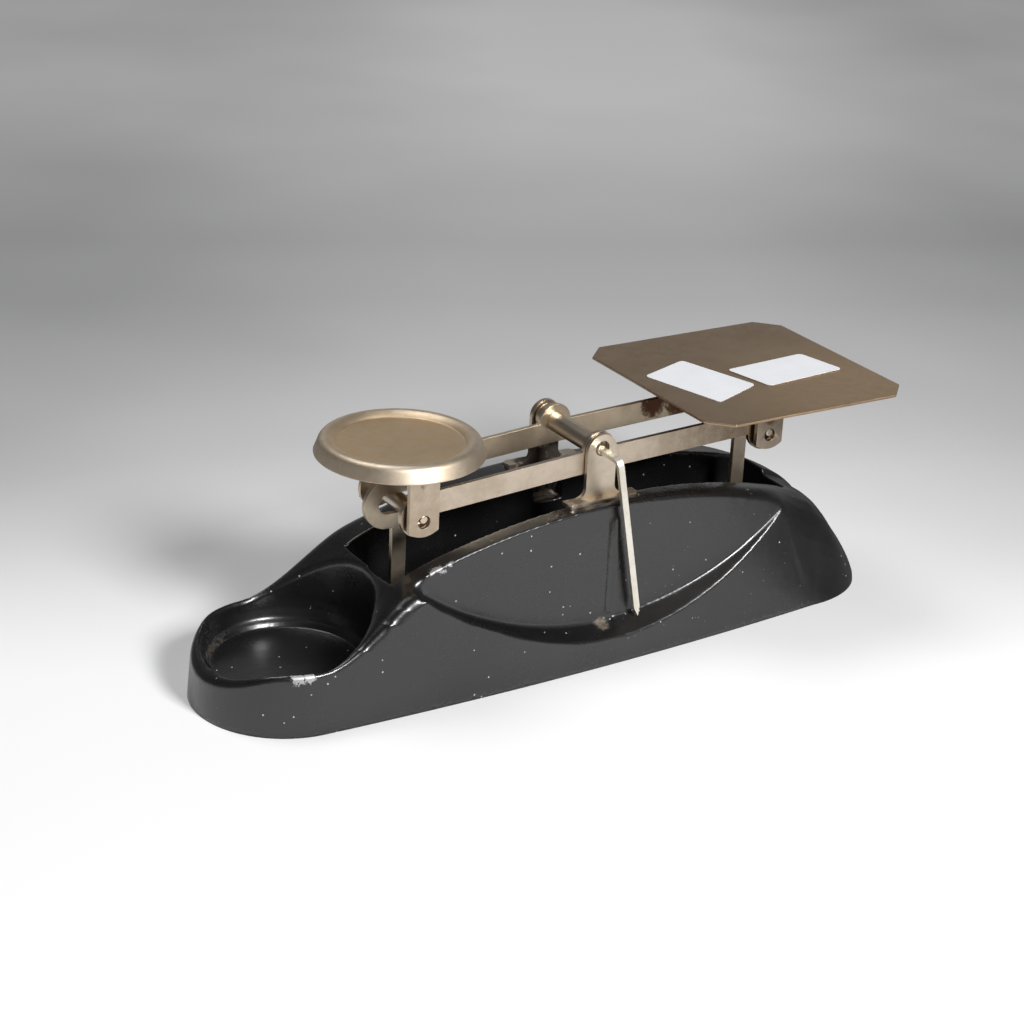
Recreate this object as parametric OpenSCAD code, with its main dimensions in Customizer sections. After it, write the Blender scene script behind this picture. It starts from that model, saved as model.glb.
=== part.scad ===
// Equal-arm letter balance: round weights pan on the left, flat letter plate on the right.
// Millimetres. X runs along the beam towards the letter plate, Y to the back, Z up.
// The origin is on the underside of the base, straight below the fulcrum.

/* [Base] */
// Half width of the base at the floor, where it is widest
base_half_w = 30.4; // [29.5:0.1:32]
// Place of the widest part of the base along its length
widest_x = -55.6; // [-60:0.5:-50]
// Centre of the round left end
nose_x = -101.5; // [-103:0.5:-100]
// Where the rounded right end begins
tail_x = 84.5; // [83:0.5:86]
// Length of the rounded right end
tail_len = 29.4; // [28:0.2:31]
// Height of the highest point of the base
crest_z = 51.7; // [51:0.1:53]
// Height of the rim of the weights well
rim_z = 19.6; // [19:0.1:21]
// Lean of the side walls, in millimetres per millimetre of height
draft = 0.078; // [0.06:0.002:0.09]
// Thickness of the skirt round the hollow underside
skirt_t = 4.2; // [3.5:0.1:5]

/* [Trough] */
// Left end of the trough
trough_left = -73.3; // [-73.5:0.1:-72.5]
// Right end of the trough
trough_right = 75.8; // [74:0.1:77]
// Half width of the trough at its left end
trough_half_l = 15.4; // [15:0.1:15.8]
// Half width of the trough at its right end
trough_half_r = 11.6; // [11:0.1:12]

/* [Weights well] */
// Centre of the well
well_x = -101; // [-101.5:0.1:-100.5]
// Radius of the upright wall of the well
well_r = 26.3; // [25.5:0.1:26.5]
// Radius of the sunk floor of the well
well_floor_r = 23.8; // [23:0.1:24.2]
// Height of the well floor above the table
well_floor_z = 10.2; // [9.5:0.1:11]

/* [Leaf panel] */
// Distance of the leaf panel from the middle plane
panel_y = 21.7; // [21.5:0.1:22]
// Lowest height of the leaf, left of the index step
leaf_low_z = 11.9; // [11.5:0.1:12.2]
// Height of the index step
index_step = 1.1; // [0.8:0.1:1.3]
// Place of the index step
index_x = 3; // [2:0.5:4]

/* [Beam] */
// Height of the fulcrum above the table
fulcrum_z = 67.6; // [67:0.1:69]
// Length of each arm of the beam
arm = 64; // [63.5:0.1:64.5]
// How far the end pins lie below the fulcrum
pin_drop = 7.8; // [7.4:0.1:8]
// Tilt of the empty beam, left end down, in degrees
rest_tilt = 3; // [2:0.1:4]
// Outer face of each beam bar from the middle of the beam
bar_y = 13.6; // [13.4:0.05:13.6]
// Thickness of a beam bar
bar_t = 1.5; // [1.3:0.1:1.6]
// Height of a beam bar
bar_h = 7.3; // [7:0.1:7.6]
// Side play that the beam has taken up towards the back
side_play = 0.4; // [0:0.1:0.4]

/* [Pans] */
// Height of a stem from the upper pin to the lower pin
stem_len = 45; // [44.5:0.5:46]
// Radius of the skirt of the round pan
pan_r = 26.3; // [26:0.1:27]
// Thickness of the round pan
pan_t = 1.6; // [1.3:0.05:1.8]
// Side of the square letter plate
plate_w = 77.6; // [76:0.2:79]
// Clipped corner of the letter plate
plate_clip = 7.2; // [6:0.1:8]
// Thickness of the letter plate
plate_t = 0.9; // [0.8:0.05:1]

/* [Hidden] */
$fn = 48;

// colours
paint = "#1b1b1d";
nickel = "#b9ad98";
steel = "#8d8981";
plate_metal = "#85765c";

// base outline and crest
side_bow = 2560;
crest_x = 5;
crest_r = 233;
crest_back_r = 305;
crest_blend = 0.8;
slope_low_x = -104;
slope_high_x = -58;
slope_top_z = 43.4;
slope_turn = 0.8;
fall_end_x = 111;
fall_turn = 40;
fall_rise = 1.81;
fall_bend = 0.0158;
fall_foot_z = 2;
fall_blend = 3;
shoulder_nose_r = 1.5;
shoulder_left_r = 5;
shoulder_right_r = 6.5;
shoulder_back_r = 2;
shoulder_tail_r = 14.4;
tail_bow = 0.85;
trough_taper_x = -20;
cavity_z = 7;
cavity_right = 100;
rib_half = 4;
rib_z = 6;

// leaf panel
leaf_left_r = 110;
leaf_right_r = 106;
lip_left_r = 80;
lip_right_r = 95;
lip_left_z = 9.1;
lip_right_z = 8.7;
panel_taper = 0.013;
leaf_left_x = -76;
leaf_right_x = 73;
groove_w = 3;
groove_d = 0.4;
groove_low_z = 14;
groove_top_z = 47;

// pins and holes
fulcrum_pin_r = 1.7;
end_pin_r = 1.3;
gap = 0.05;
fit_gap = 0.02;

// brackets
bracket_in_front = 13.5;
bracket_in_rear = 18.2;
bracket_t = 1.5;
bracket_half = 5.3;
bracket_hole_r = 2.5;
seat_z = 50.9;
foot_half = 13;
foot_reach_out = 4.4;
foot_t = 1.5;
tail_z = 39.5;
bracket_screw_z = 43.5;
bracket_screw_x = 3;
bracket_screw_r = 1.1;
bracket_screw_len = 5.5;

// check link and its stay
stay_z = fulcrum_z - stem_len;
stay_r = 1.75;
stay_head_r = 4;
stay_head_t = 2.2;
stay_seat_y = 26.4;
stay_end_y = -19;
link_in = 1.2;
link_t = 2;
link_half = 3.2;
link_pin_r = 1.25;

// pan carriers
yoke_out = 16;
yoke_t = 1.65;
yoke_half = 5.1;
ear_drop = 5.6;
ear_end_r = 8.3;
ear_hole_r = 2.1;
strap_w = 5;
strap_t = 1.8;
curl_in_r = 3.2;
curl_shift = 4;
rod_r = 2.8;
fulcrum_rod_r = 3.2;
foot_reach = 5;
rivet_r = 0.9;
rivet_y = 2.8;

// heights of the pans above the upper pins
pan_floor_z = 76;
plate_z = 79.2;
pan_lip_drop = 3.4;
pan_rim_rise = 1.7;
pan_recess_r = 20.4;
pan_roll_r = 2.5;
pan_roll_in = 3.7;
pan_skirt_lean = 21.5;

// pointer
wire = 1.5;
wire_w = 2.1;
pointer_y = -24.7;
pointer_lean = 10.8;
pointer_len = 55.7;
pointer_bend_r = 1.4;
pointer_point = 3.4;
tenon_r = 0.8;
tenon_len = 4;

// A point of the tilted beam, given from the fulcrum, in the frame of the whole object
function beam_point(x, z) = [
    x * cos(rest_tilt) - z * sin(rest_tilt),
    0,
    x * sin(rest_tilt) + z * cos(rest_tilt)];

left_pin = [0, 0, fulcrum_z] + beam_point(-arm, -pin_drop);
right_pin = [0, 0, fulcrum_z] + beam_point(arm, -pin_drop);

function mix(a, b, t) = a + (b - a) * t;
function clamp(t) = min(max(t, 0), 1);
function smooth(t) = clamp(t) * clamp(t) * (3 - 2 * clamp(t));

// Half width of the base at the floor
function floor_half(x) = base_half_w - pow(x - widest_x, 2) / side_bow;
nose_r = floor_half(nose_x);
tail_w = floor_half(tail_x);

// Height of the top of the base along its length; side is 1 at the back and -1 at the front
function crest(x, side) =
    let (r = side > 0 && x > crest_x ? crest_back_r : crest_r)
    crest_z - pow(x - crest_x, 2) / (2 * r);
function slope(x) =
    let (t = (x - slope_low_x) / (slope_high_x - slope_low_x),
        rest = 6 * slope_turn * (1 - slope_turn) * max(t - slope_turn, 0))
    mix(rim_z, slope_top_z, smooth(min(t, slope_turn)) + rest);
function soft_min(a, b, k) = -k * ln(exp(-a / k) + exp(-b / k));
function fall(x) =
    let (u = fall_end_x - x, v = min(u, fall_turn))
    fall_foot_z + max(v * (fall_rise - fall_bend * v), 0)
        + max(u - fall_turn, 0) * (fall_rise - 2 * fall_bend * fall_turn);
function top_z(x, side) = x < 0
    ? soft_min(crest(x, side), slope(x), crest_blend)
    : soft_min(crest(x, side), fall(x), fall_blend);

// Rounding of the upper edge of the base
function side_shoulder_r(x, side) = side > 0
    ? mix(shoulder_left_r, shoulder_back_r, smooth((x + 60) / 25))
    : mix(shoulder_left_r, shoulder_right_r, smooth((x + 10) / 20));
function shoulder_r(x, side) = x < slope_high_x
    ? mix(shoulder_nose_r, shoulder_left_r, smooth((x - nose_x) / (slope_high_x - nose_x)))
    : min(mix(side_shoulder_r(x, side), shoulder_tail_r, smooth((x - 62) / 22)), 0.9 * top_z(x, side));

// Stations round the back half of the outline: place and outward direction
nose_step = 10;
side_step = 5;
tail_step = 10;
function unit(v) = v / norm(v);
stations = concat(
    [for (a = [0 : nose_step : 90 - nose_step])
        [nose_x - nose_r * cos(a), nose_r * sin(a), -cos(a), sin(a)]],
    [for (x = [nose_x : side_step : tail_x - side_step / 2]) [x, floor_half(x), 0, 1]],
    [for (a = [0 : tail_step : 90])
        let (n = unit([sin(a) / tail_len, cos(a) / tail_w]))
        [tail_x + tail_len * sin(a), tail_w * cos(a), n[0], n[1]]]);

// How far down the shoulder reaches; in front it draws out into a bowed wall at the right end
function shoulder_fall(s, side) =
    let (r = shoulder_r(s[0], side), share = side < 0 ? s[3] * smooth((s[0] - 68) / 14) : 0)
    mix(r, max(tail_bow * top_z(s[0], side), r), share);

// Point of the outer skin at one station: the wall foot, then the steps of the rounded shoulder
shoulder_step = 18;
function skin(s, a, side) =
    let (r = shoulder_r(s[0], side), down = shoulder_fall(s, side), wall_z = top_z(s[0], side) - down,
        inset = a < 0 ? 0 : draft * wall_z + r * (1 - cos(a)),
        x = s[0] - s[2] * inset, y = s[1] - s[3] * inset)
    [x, side * y, a < 0 ? 0 : top_z(x, side) - down * (1 - sin(a))];

function ring(a) = concat(
    [for (s = stations) skin(s, a, 1)],
    [for (i = [len(stations) - 2 : -1 : 1]) skin(stations[i], a, -1)]);

module outer_skin() {
    rings = concat([ring(-1)], [for (a = [0 : shoulder_step : 90]) ring(a)]);
    n = len(rings[0]);
    m = len(rings);
    half = len(stations);
    function far(i) = (n - i) % n;
    walls = [for (j = [0 : m - 2], i = [0 : n - 1])
        let (a = j * n + i, b = j * n + (i + 1) % n)
        each [[a, b, b + n], [a, b + n, a + n]]];
    floor_faces = [for (i = [0 : half - 2]) let (a = far(i), b = far(i + 1))
        each i == 0 ? [[0, b, 1]] : i == half - 2 ? [[i, a, i + 1]] : [[i, a, b], [i, b, i + 1]]];
    top = (m - 1) * n;
    top_faces = [for (f = floor_faces) [top + f[0], top + f[2], top + f[1]]];
    polyhedron(points = [for (r = rings) each r], faces = concat(walls, floor_faces, top_faces));
}

// Height of the lower edge of the leaf and of the lip of its ledge
function sag(r, x) = r - sqrt(r * r - x * x);
function leaf_low(x, right) = right
    ? leaf_low_z + index_step + sag(leaf_right_r, x)
    : leaf_low_z + sag(leaf_left_r, x);
function lip(x, right) = right
    ? lip_right_z + sag(lip_right_r, x)
    : lip_left_z + x * x / (2 * lip_left_r);

// Cutter of one half of the leaf: above the ledge and outside the panel
leaf_far_y = 40;
leaf_top_z = 60;
leaf_steps = 16;
function leaf_section(x, right) =
    let (low = leaf_low(x, right), edge = min(lip(x, right), low), wall_y = floor_half(x) - draft * edge,
        inner_y = panel_y - panel_taper * max(x, 0),
        far_z = low + (edge - low) * (leaf_far_y - inner_y) / (wall_y - inner_y))
    [[x, -inner_y, low], [x, -inner_y, leaf_top_z], [x, -leaf_far_y, leaf_top_z], [x, -leaf_far_y, far_z]];

module leaf_half(from, to, right) {
    step = (to - from) / leaf_steps;
    sections = [for (i = [0 : leaf_steps]) leaf_section(from + i * step, right)];
    k = len(sections[0]);
    sides = [for (j = [0 : leaf_steps - 1], i = [0 : k - 1])
        let (a = j * k + i, b = j * k + (i + 1) % k)
        each [[a, b + k, b], [a, a + k, b + k]]];
    near_cap = [[0, 1, 2], [0, 2, 3]];
    last = leaf_steps * k;
    far_cap = [for (f = near_cap) [last + f[0], last + f[2], last + f[1]]];
    polyhedron(points = [for (s = sections) each s], faces = concat(sides, near_cap, far_cap));
}

// A flat profile drawn in X and Z, standing between two places along Y
module between_y(y0, y1) {
    translate([0, y1, 0]) rotate([90, 0, 0]) linear_extrude(y1 - y0) children();
}

module rod_y(r, y0, y1) {
    translate([0, y1, 0]) rotate([90, 0, 0]) cylinder(r = r, h = y1 - y0);
}

module beam_frame() {
    translate([0, side_play, fulcrum_z]) rotate([0, -rest_tilt, 0]) children();
}

module trough_outline() {
    polygon([[trough_left, -trough_half_l], [trough_taper_x, -trough_half_l],
        [trough_right, -trough_half_r], [trough_right, trough_half_r],
        [trough_taper_x, trough_half_l], [trough_left, trough_half_l]]);
}

module cavity_outline() {
    back = [for (s = stations) [s[0] - s[2] * skirt_t, s[1] - s[3] * skirt_t]];
    front = [for (i = [len(back) - 2 : -1 : 1]) [back[i][0], -back[i][1]]];
    intersection() {
        polygon(concat(back, front));
        translate([-200, -50]) square([200 + cavity_right, 100]);
    }
}

module well() {
    translate([well_x, 0, 0]) rotate_extrude($fn = 96)
        polygon([[0, well_floor_z], [well_floor_r - 1.2, well_floor_z], [well_floor_r, well_floor_z + 1.4],
            [well_floor_r + 0.8, well_floor_z + 1.7], [well_r - 0.4, rim_z - 3.5], [well_r, rim_z - 1],
            [well_r, 70], [0, 70]]);
}

module bracket_cuts(y_in) {
    translate([-bracket_half - 0.1, 10, tail_z - 0.1])
        cube([2 * bracket_half + 0.2, y_in + bracket_t - 10, 20]);
    translate([-foot_half - 0.2, 10, seat_z])
        cube([2 * foot_half + 0.4, y_in + foot_reach_out + 0.2 - 10, 5]);
    for (x = [-bracket_screw_x, bracket_screw_x])
        translate([x, 0, bracket_screw_z])
            rod_y(bracket_screw_r + fit_gap, y_in, y_in + bracket_screw_len + 0.3);
}

module base_casting() {
    color(paint) {
        difference() {
            outer_skin();
            translate([0, 0, -1]) linear_extrude(70) trough_outline();
            translate([0, 0, -1]) linear_extrude(cavity_z + 1) cavity_outline();
            well();
            leaf_half(leaf_left_x, index_x, false);
            leaf_half(index_x, leaf_right_x, true);
            translate([0, -panel_y - 1, groove_low_z])
                cube([groove_w, 1 + groove_d, groove_top_z - groove_low_z]);
            bracket_cuts(bracket_in_rear);
            mirror([0, 1, 0]) bracket_cuts(bracket_in_front);
            translate([0, 0, stay_z]) {
                rod_y(stay_r + gap, 10, 40);
                rod_y(stay_head_r + 0.2, stay_seat_y, 40);
                rod_y(stay_r + fit_gap, stay_end_y, -10);
            }
        }
        translate([-rib_half, -floor_half(0) + skirt_t - 0.5, 0])
            cube([2 * rib_half, 2 * (floor_half(0) - skirt_t + 0.5), rib_z]);
    }
}

// Upright ear with a round hole, a foot on the wall top and a tail inside the trough
module fulcrum_bracket(y_in) {
    hole_z = fulcrum_z - fulcrum_pin_r - gap + bracket_hole_r;
    color(nickel) difference() {
        union() {
            between_y(y_in, y_in + bracket_t) {
                translate([0, fulcrum_z]) circle(bracket_half, $fn = 64);
                translate([-bracket_half, tail_z]) square([2 * bracket_half, fulcrum_z - tail_z]);
                for (m = [0, 1]) mirror([m, 0]) flare();
            }
            foot(y_in);
        }
        translate([0, 0, hole_z]) rod_y(bracket_hole_r, 10, 25);
        for (x = [-bracket_screw_x, bracket_screw_x])
            translate([x, 0, bracket_screw_z]) rod_y(bracket_screw_r + gap, 10, 25);
    }
}

// Concave corner where the ear runs out into its foot
flare_r = 3.2;
module flare() {
    difference() {
        translate([bracket_half - 0.5, seat_z]) square([flare_r + 0.5, foot_t + flare_r]);
        translate([bracket_half + flare_r, seat_z + foot_t + flare_r]) circle(flare_r, $fn = 48);
    }
}

// Flange that lies on the top of the wall, from the ear outwards
foot_corner_r = 1.6;
module foot(y_in) {
    straight = foot_half - foot_corner_r;
    translate([0, y_in, seat_z]) linear_extrude(foot_t) {
        translate([-straight, 0]) square([2 * straight, foot_reach_out]);
        translate([-foot_half, 0]) square([2 * foot_half, foot_reach_out - foot_corner_r]);
        for (x = [-straight, straight])
            translate([x, foot_reach_out - foot_corner_r]) circle(foot_corner_r, $fn = 32);
    }
}

module fulcrum_bracket_front() {
    mirror([0, 1, 0]) fulcrum_bracket(bracket_in_front);
}

module fulcrum_bracket_rear() {
    fulcrum_bracket(bracket_in_rear);
}

module bracket_screw(y_in) {
    head_r = 2;
    head_t = 1.2;
    slot_w = 0.6;
    slot_d = 0.6;
    difference() {
        union() {
            rod_y(head_r, y_in - head_t, y_in);
            rod_y(bracket_screw_r, y_in - 0.5, y_in + bracket_screw_len);
        }
        translate([-slot_w / 2, y_in - head_t - 1, -head_r - 1]) cube([slot_w, 1 + slot_d, 2 * head_r + 2]);
    }
}

module bracket_screws() {
    color(steel)
        for (x = [-bracket_screw_x, bracket_screw_x])
            translate([x, 0, bracket_screw_z]) {
                bracket_screw(bracket_in_rear);
                mirror([0, 1, 0]) bracket_screw(bracket_in_front);
            }
}

module stay_screw() {
    slot_w = 0.9;
    slot_d = 1;
    color(steel) translate([0, 0, stay_z])
        difference() {
            union() {
                rod_y(stay_head_r, stay_seat_y, stay_seat_y + stay_head_t);
                rod_y(stay_r, stay_end_y + 0.3, stay_seat_y + 0.5);
            }
            translate([-stay_head_r - 1, stay_seat_y + stay_head_t - slot_d, -slot_w / 2])
                cube([2 * stay_head_r + 2, slot_d + 1, slot_w]);
        }
}

// Two tubes that hold the check link in the middle of the trough
module stay_spacers() {
    wall_y = mix(trough_half_l, trough_half_r, -trough_taper_x / (trough_right - trough_taper_x));
    spacer_r = 2.9;
    end_y = wall_y - 0.2;
    color(steel) translate([0, 0, stay_z])
        difference() {
            union() {
                rod_y(spacer_r, -end_y, link_in - 0.1);
                rod_y(spacer_r, link_in + link_t + 0.1, end_y);
            }
            rod_y(stay_r + gap, -20, 20);
        }
}

// Flat arched bar that runs parallel to the beam, behind the stems
module check_link() {
    color(steel) translate([0, 0, stay_z]) rotate([0, -rest_tilt, 0])
        difference() {
            between_y(link_in, link_in + link_t) {
                circle(link_half + 0.6, $fn = 48);
                for (m = [0, 1]) mirror([m, 0]) {
                    polygon([[0, link_half], [0, -link_half],
                        [arm, -pin_drop - link_half], [arm, -pin_drop + link_half]]);
                    translate([arm, -pin_drop]) circle(link_half, $fn = 48);
                }
            }
            rod_y(stay_r + gap, -5, 10);
            for (x = [-arm, arm]) translate([x, 0, -pin_drop]) rod_y(link_pin_r + gap, -5, 10);
        }
}

// Side bar of the beam: two drooping arms, a round hump over the fulcrum and a round lug at each end
bar_hump_r = 5.7;
bar_lug_r = 6.6;
bar_droop = 0.92;
bar_top = 0.05;
fulcrum_spigot_r = 2.2;
end_spigot_r = 1.8;
module beam_bar(y0) {
    color(nickel) beam_frame()
        difference() {
            between_y(y0, y0 + bar_t) {
                circle(bar_hump_r, $fn = 64);
                for (m = [0, 1]) mirror([m, 0]) {
                    polygon([[0, bar_top], [0, bar_top - bar_h],
                        [arm, bar_top - bar_h - bar_droop], [arm, bar_top - bar_droop]]);
                    translate([arm, -pin_drop]) circle(bar_lug_r, $fn = 64);
                }
            }
            rod_y(fulcrum_spigot_r + fit_gap, -20, 20);
            for (x = [-arm, arm]) translate([x, 0, -pin_drop]) rod_y(end_spigot_r + fit_gap, -20, 20);
        }
}

module beam_bar_front() {
    beam_bar(-bar_y);
}

module beam_bar_rear() {
    beam_bar(bar_y - bar_t);
}

// A thick rod between the bars, a spigot through each bar and a thin pin beyond
module stepped_rod(r, spigot_r, pin_r, front_end, rear_end) {
    inner = bar_y - bar_t;
    rod_y(r, -inner, inner);
    rod_y(spigot_r, -bar_y, bar_y);
    rod_y(pin_r, -front_end, rear_end);
}

fulcrum_front_end = 15.1;
fulcrum_rear_end = 20;
end_pin_end = 16.3;
module fulcrum_rod() {
    color(nickel) beam_frame()
        difference() {
            stepped_rod(fulcrum_rod_r, fulcrum_spigot_r, fulcrum_pin_r, fulcrum_front_end, fulcrum_rear_end);
            rod_y(tenon_r + fit_gap, -fulcrum_front_end - 1, -fulcrum_front_end + tenon_len + 0.2);
        }
}

// Collar that keeps the rear bar clear of the rear bracket
collar_r = 4.6;
collar_t = 3.6;
module fulcrum_collar() {
    color(nickel) beam_frame()
        difference() {
            rod_y(collar_r, bar_y, bar_y + collar_t);
            rod_y(fulcrum_pin_r + fit_gap, 0, 30);
        }
}

module end_rod(side) {
    color(nickel) beam_frame() translate([side * arm, 0, -pin_drop])
        stepped_rod(rod_r, end_spigot_r, end_pin_r, end_pin_end, end_pin_end);
}

module end_rod_left() {
    end_rod(-1);
}

module end_rod_right() {
    end_rod(1);
}

// Flat wire: out of the fulcrum rod, round a bend and down to a chisel point
module pointer() {
    root_y = -fulcrum_front_end;
    leg_y = pointer_y - side_play;
    bend_c = leg_y + wire / 2 + pointer_bend_r;
    color(nickel) translate([0, side_play, fulcrum_z]) rotate([0, -pointer_lean, 0]) {
        rod_y(tenon_r, root_y - 0.5, root_y + tenon_len);
        translate([-wire_w / 2, bend_c, -wire / 2]) cube([wire_w, root_y - bend_c, wire]);
        translate([-wire_w / 2, bend_c, -wire / 2 - pointer_bend_r])
            rotate([90, 0, 90]) rotate([0, 0, 90]) rotate_extrude(angle = 90, $fn = 48)
                translate([pointer_bend_r, 0]) square([wire, wire_w]);
        between_y(leg_y - wire / 2, leg_y + wire / 2)
            polygon([[-wire_w / 2, -wire / 2 - pointer_bend_r], [wire_w / 2, -wire / 2 - pointer_bend_r],
                [wire_w / 2, pointer_point - pointer_len], [0, -pointer_len],
                [-wire_w / 2, pointer_point - pointer_len]]);
    }
}

// U-shaped strap: a web under the pan and two ears that hang on the end pins
module yoke(pin, web_top) {
    hole_z = pin[2] - (ear_hole_r - end_pin_r - gap);
    ear_low = pin[2] - ear_drop;
    color(nickel) difference() {
        union() {
            translate([pin[0] - yoke_half, -yoke_out, web_top - yoke_t])
                cube([2 * yoke_half, 2 * yoke_out, yoke_t]);
            for (y = [-yoke_out, yoke_out - yoke_t])
                between_y(y, y + yoke_t)
                    intersection() {
                        translate([pin[0] - yoke_half, ear_low])
                            square([2 * yoke_half, web_top - ear_low]);
                        translate([pin[0], ear_low + ear_end_r]) union() {
                            circle(ear_end_r, $fn = 96);
                            translate([-yoke_half, 0]) square([2 * yoke_half, 40]);
                        }
                    }
        }
        translate([pin[0], 0, hole_z]) rod_y(ear_hole_r, -20, 20);
        translate([pin[0], rivet_y, 0]) cylinder(r = rivet_r + fit_gap, h = 200);
    }
}

// Flat strap that curls round the outside of the end rod and hangs down as a stem
module hanger(pin, side, web_low) {
    half = strap_w / 2;
    curl_out_r = curl_in_r + strap_w;
    color(nickel) translate([pin[0], 0, 0]) mirror([side < 0 ? 1 : 0, 0, 0])
        difference() {
            union() {
                between_y(-strap_t / 2, strap_t / 2) {
                    translate([curl_shift, pin[2]]) curl(curl_in_r, curl_out_r);
                    translate([-half, pin[2] - curl_out_r]) square([curl_shift + half, strap_w]);
                    translate([-half, pin[2] + curl_in_r]) square([curl_shift + half, strap_w]);
                    translate([-half, pin[2] + curl_in_r]) square([strap_w, web_low - pin[2] - curl_in_r]);
                    translate([-half, pin[2] - stem_len]) square([strap_w, stem_len - curl_in_r - half]);
                    translate([0, pin[2] - stem_len]) circle(half + 0.4, $fn = 48);
                }
                translate([-half, -strap_t / 2, web_low - strap_t]) cube([strap_w, foot_reach, strap_t]);
            }
            translate([0, 0, pin[2] - stem_len]) rod_y(link_pin_r + fit_gap, -5, 5);
            translate([0, rivet_y, 0]) cylinder(r = rivet_r + fit_gap, h = 200);
        }
}

module curl(r_in, r_out) {
    difference() {
        circle(r_out, $fn = 72);
        circle(r_in, $fn = 48);
        translate([-2 * r_out, -r_out]) square([2 * r_out, 2 * r_out]);
    }
}

module stem_rivet(pin, web_low) {
    head_r = 1.7;
    head_t = 0.8;
    color(steel) translate([pin[0], rivet_y, 0]) {
        translate([0, 0, web_low - strap_t - head_t]) cylinder(r = head_r, h = head_t);
        translate([0, 0, web_low - strap_t - 0.1]) cylinder(r = rivet_r, h = strap_t + yoke_t + 0.1);
    }
}

// Pin pressed through the foot of a stem, with a head on each side of stem and link
module lower_pin(pin) {
    head_r = 2.1;
    head_t = 0.8;
    front = -strap_t / 2;
    back = link_in + link_t + 0.3;
    color(steel) translate([pin[0], 0, pin[2] - stem_len]) {
        rod_y(head_r, front - head_t, front);
        rod_y(link_pin_r, front - 0.1, back + 0.1);
        rod_y(head_r, back, back + head_t);
    }
}

left_web_top = pan_floor_z - pan_t;
right_web_top = plate_z - plate_t;

module left_yoke() {
    yoke(left_pin, left_web_top);
}

module right_yoke() {
    yoke(right_pin, right_web_top);
}

module left_hanger() {
    hanger(left_pin, -1, left_web_top - yoke_t);
}

module right_hanger() {
    hanger(right_pin, 1, right_web_top - yoke_t);
}

module left_stem_rivet() {
    stem_rivet(left_pin, left_web_top - yoke_t);
}

module right_stem_rivet() {
    stem_rivet(right_pin, right_web_top - yoke_t);
}

module left_lower_pin() {
    lower_pin(left_pin);
}

module right_lower_pin() {
    lower_pin(right_pin);
}

// Pressed round pan: sunk floor, rolled rim and a short leaning skirt
module weights_pan() {
    roll_c = [pan_r - pan_roll_in, pan_floor_z + pan_rim_rise - pan_roll_r];
    low = pan_floor_z - pan_lip_drop;
    under = pan_floor_z - pan_t;
    function roll(r, a0, a1, n) = [for (i = [0 : n]) let (a = mix(a0, a1, i / n))
        roll_c + r * [cos(a), sin(a)]];
    color(plate_metal) translate([left_pin[0], 0, 0]) rotate_extrude($fn = 96)
        polygon(concat(
            [[0, pan_floor_z], [pan_recess_r - 0.8, pan_floor_z], [pan_recess_r, pan_floor_z + 0.8]],
            roll(pan_roll_r, 125, pan_skirt_lean, 8),
            [[pan_r, low], [pan_r - pan_t, low]],
            roll(pan_roll_r - pan_t, pan_skirt_lean, 125, 6),
            [[pan_recess_r + 0.6, under], [0, under]]));
}

module goods_plate() {
    h = plate_w / 2;
    k = h - plate_clip;
    color(plate_metal) translate([right_pin[0], 0, plate_z - plate_t]) linear_extrude(plate_t)
        polygon([[-h, -k], [-k, -h], [k, -h], [h, -k], [h, k], [k, h], [-k, h], [-h, k]]);
}

base_casting();
fulcrum_bracket_front();
fulcrum_bracket_rear();
bracket_screws();
stay_screw();
stay_spacers();
check_link();
beam_bar_front();
beam_bar_rear();
fulcrum_rod();
fulcrum_collar();
end_rod_left();
end_rod_right();
pointer();
left_yoke();
left_hanger();
left_stem_rivet();
left_lower_pin();
weights_pan();
right_yoke();
right_hanger();
right_stem_rivet();
right_lower_pin();
goods_plate();
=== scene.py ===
import math

import bmesh
import bpy
from mathutils import Matrix, Vector


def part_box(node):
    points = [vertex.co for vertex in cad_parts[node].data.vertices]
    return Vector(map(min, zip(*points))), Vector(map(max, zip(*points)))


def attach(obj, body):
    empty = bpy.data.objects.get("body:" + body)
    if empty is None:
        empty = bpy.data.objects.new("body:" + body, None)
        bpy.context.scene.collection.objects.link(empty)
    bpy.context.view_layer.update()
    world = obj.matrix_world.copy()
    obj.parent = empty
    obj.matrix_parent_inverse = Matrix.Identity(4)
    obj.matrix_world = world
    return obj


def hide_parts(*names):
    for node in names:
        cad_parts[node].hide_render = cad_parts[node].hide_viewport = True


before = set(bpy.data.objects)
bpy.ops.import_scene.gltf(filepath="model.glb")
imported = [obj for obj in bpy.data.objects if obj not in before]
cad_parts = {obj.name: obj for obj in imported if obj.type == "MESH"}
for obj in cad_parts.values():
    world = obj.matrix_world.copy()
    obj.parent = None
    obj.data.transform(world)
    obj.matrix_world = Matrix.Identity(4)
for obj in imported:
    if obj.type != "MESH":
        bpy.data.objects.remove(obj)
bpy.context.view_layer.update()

MM = 0.001
ORIGIN = Vector((0, 0, 0))

# Driving sizes of the base casting, in millimetres, as the CAD has them
BASE_HALF_W = 30.4
WIDEST_X = -55.6
SIDE_BOW = 2560
NOSE_X = -101.5
TAIL_X = 84.5
TAIL_LEN = 29.4
DRAFT = 0.078
CREST_Z = 51.7
CREST_X = 5
CREST_R = 233
CREST_BACK_R = 305
CREST_BLEND = 0.8
RIM_Z = 19.6
SLOPE_LOW_X = -104
SLOPE_HIGH_X = -58
SLOPE_TOP_Z = 43.4
SLOPE_TURN = 0.8
FALL_END_X = 111
FALL_TURN = 40
FALL_RISE = 1.81
FALL_BEND = 0.0158
FALL_FOOT_Z = 2
FALL_BLEND = 3
NOSE_SHOULDER = 1.5
LEFT_SHOULDER = 5
FRONT_SHOULDER = 6.5
BACK_SHOULDER = 2
TAIL_SHOULDER = 14.4
SHOULDER_MOST = 0.9
TAIL_BOW = 0.85
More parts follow.
